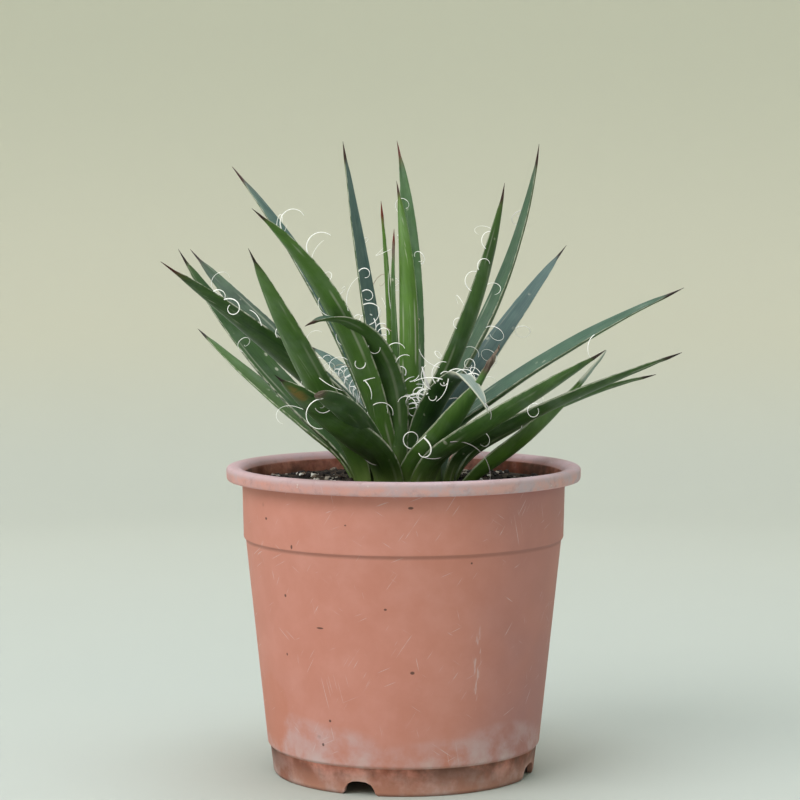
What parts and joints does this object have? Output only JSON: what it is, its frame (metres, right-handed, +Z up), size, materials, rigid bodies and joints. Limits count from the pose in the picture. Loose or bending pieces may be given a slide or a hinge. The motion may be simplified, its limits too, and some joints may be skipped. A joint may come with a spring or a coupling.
{
  "type": "potted agave",
  "caption": "Thread-leaved agave rosette rooted in gritty soil in a thin terracotta-coloured nursery pot with arched drainage notches in its foot",
  "frame": {"origin": "centre of the bounding box on plan, at the height of the pot's foot", "axes": "+Z up along the plant, -Y towards the front with the arched leaf, +X to the right"},
  "size_m": [0.1746, 0.1764, 0.2233],
  "materials": {
    "pot_plastic": "dusty matt terracotta-coloured plastic, faded at the rim",
    "potting_mix": "loose dark grit with pale perlite and tan stones",
    "crown_tissue": "fibrous pale green stem",
    "leaf_inner": "waxy bright green leaf skin",
    "leaf_middle": "waxy deep green leaf skin, blue-grey on the upper face",
    "leaf_outer": "older green leaf skin, browned and dusty at the base"
  },
  "bodies": {
    "root": {"leaf_back_left_mid": "leaf_middle", "leaf_back_left_short": "leaf_outer", "leaf_back_left_spread": "leaf_middle", "leaf_back_left_tall": "leaf_inner", "leaf_back_low": "leaf_outer", "leaf_back_lowest": "leaf_outer", "leaf_back_right_lowest": "leaf_outer", "leaf_back_right_mid": "leaf_middle", "leaf_back_right_tall": "leaf_middle", "leaf_back_tallest": "leaf_inner", "leaf_centre_tall": "leaf_inner", "leaf_centre_thin": "leaf_inner", "leaf_centre_young": "leaf_inner", "leaf_front_arched": "leaf_middle", "leaf_front_blunt": "leaf_outer", "leaf_front_left_spotted": "leaf_outer", "leaf_front_right": "leaf_outer", "leaf_front_withered": "leaf_middle", "leaf_left_long": "leaf_middle", "leaf_left_lowest": "leaf_outer", "leaf_left_middle": "leaf_middle", "leaf_left_outer": "leaf_outer", "leaf_left_tall": "leaf_inner", "leaf_right_long": "leaf_middle", "leaf_right_low_long": "leaf_outer", "leaf_right_lowest": "leaf_outer", "leaf_right_snapped": "leaf_middle", "leaf_right_tall": "leaf_inner", "pot": "pot_plastic", "soil": "potting_mix", "stem": "crown_tissue"}
  },
  "joints": []
}
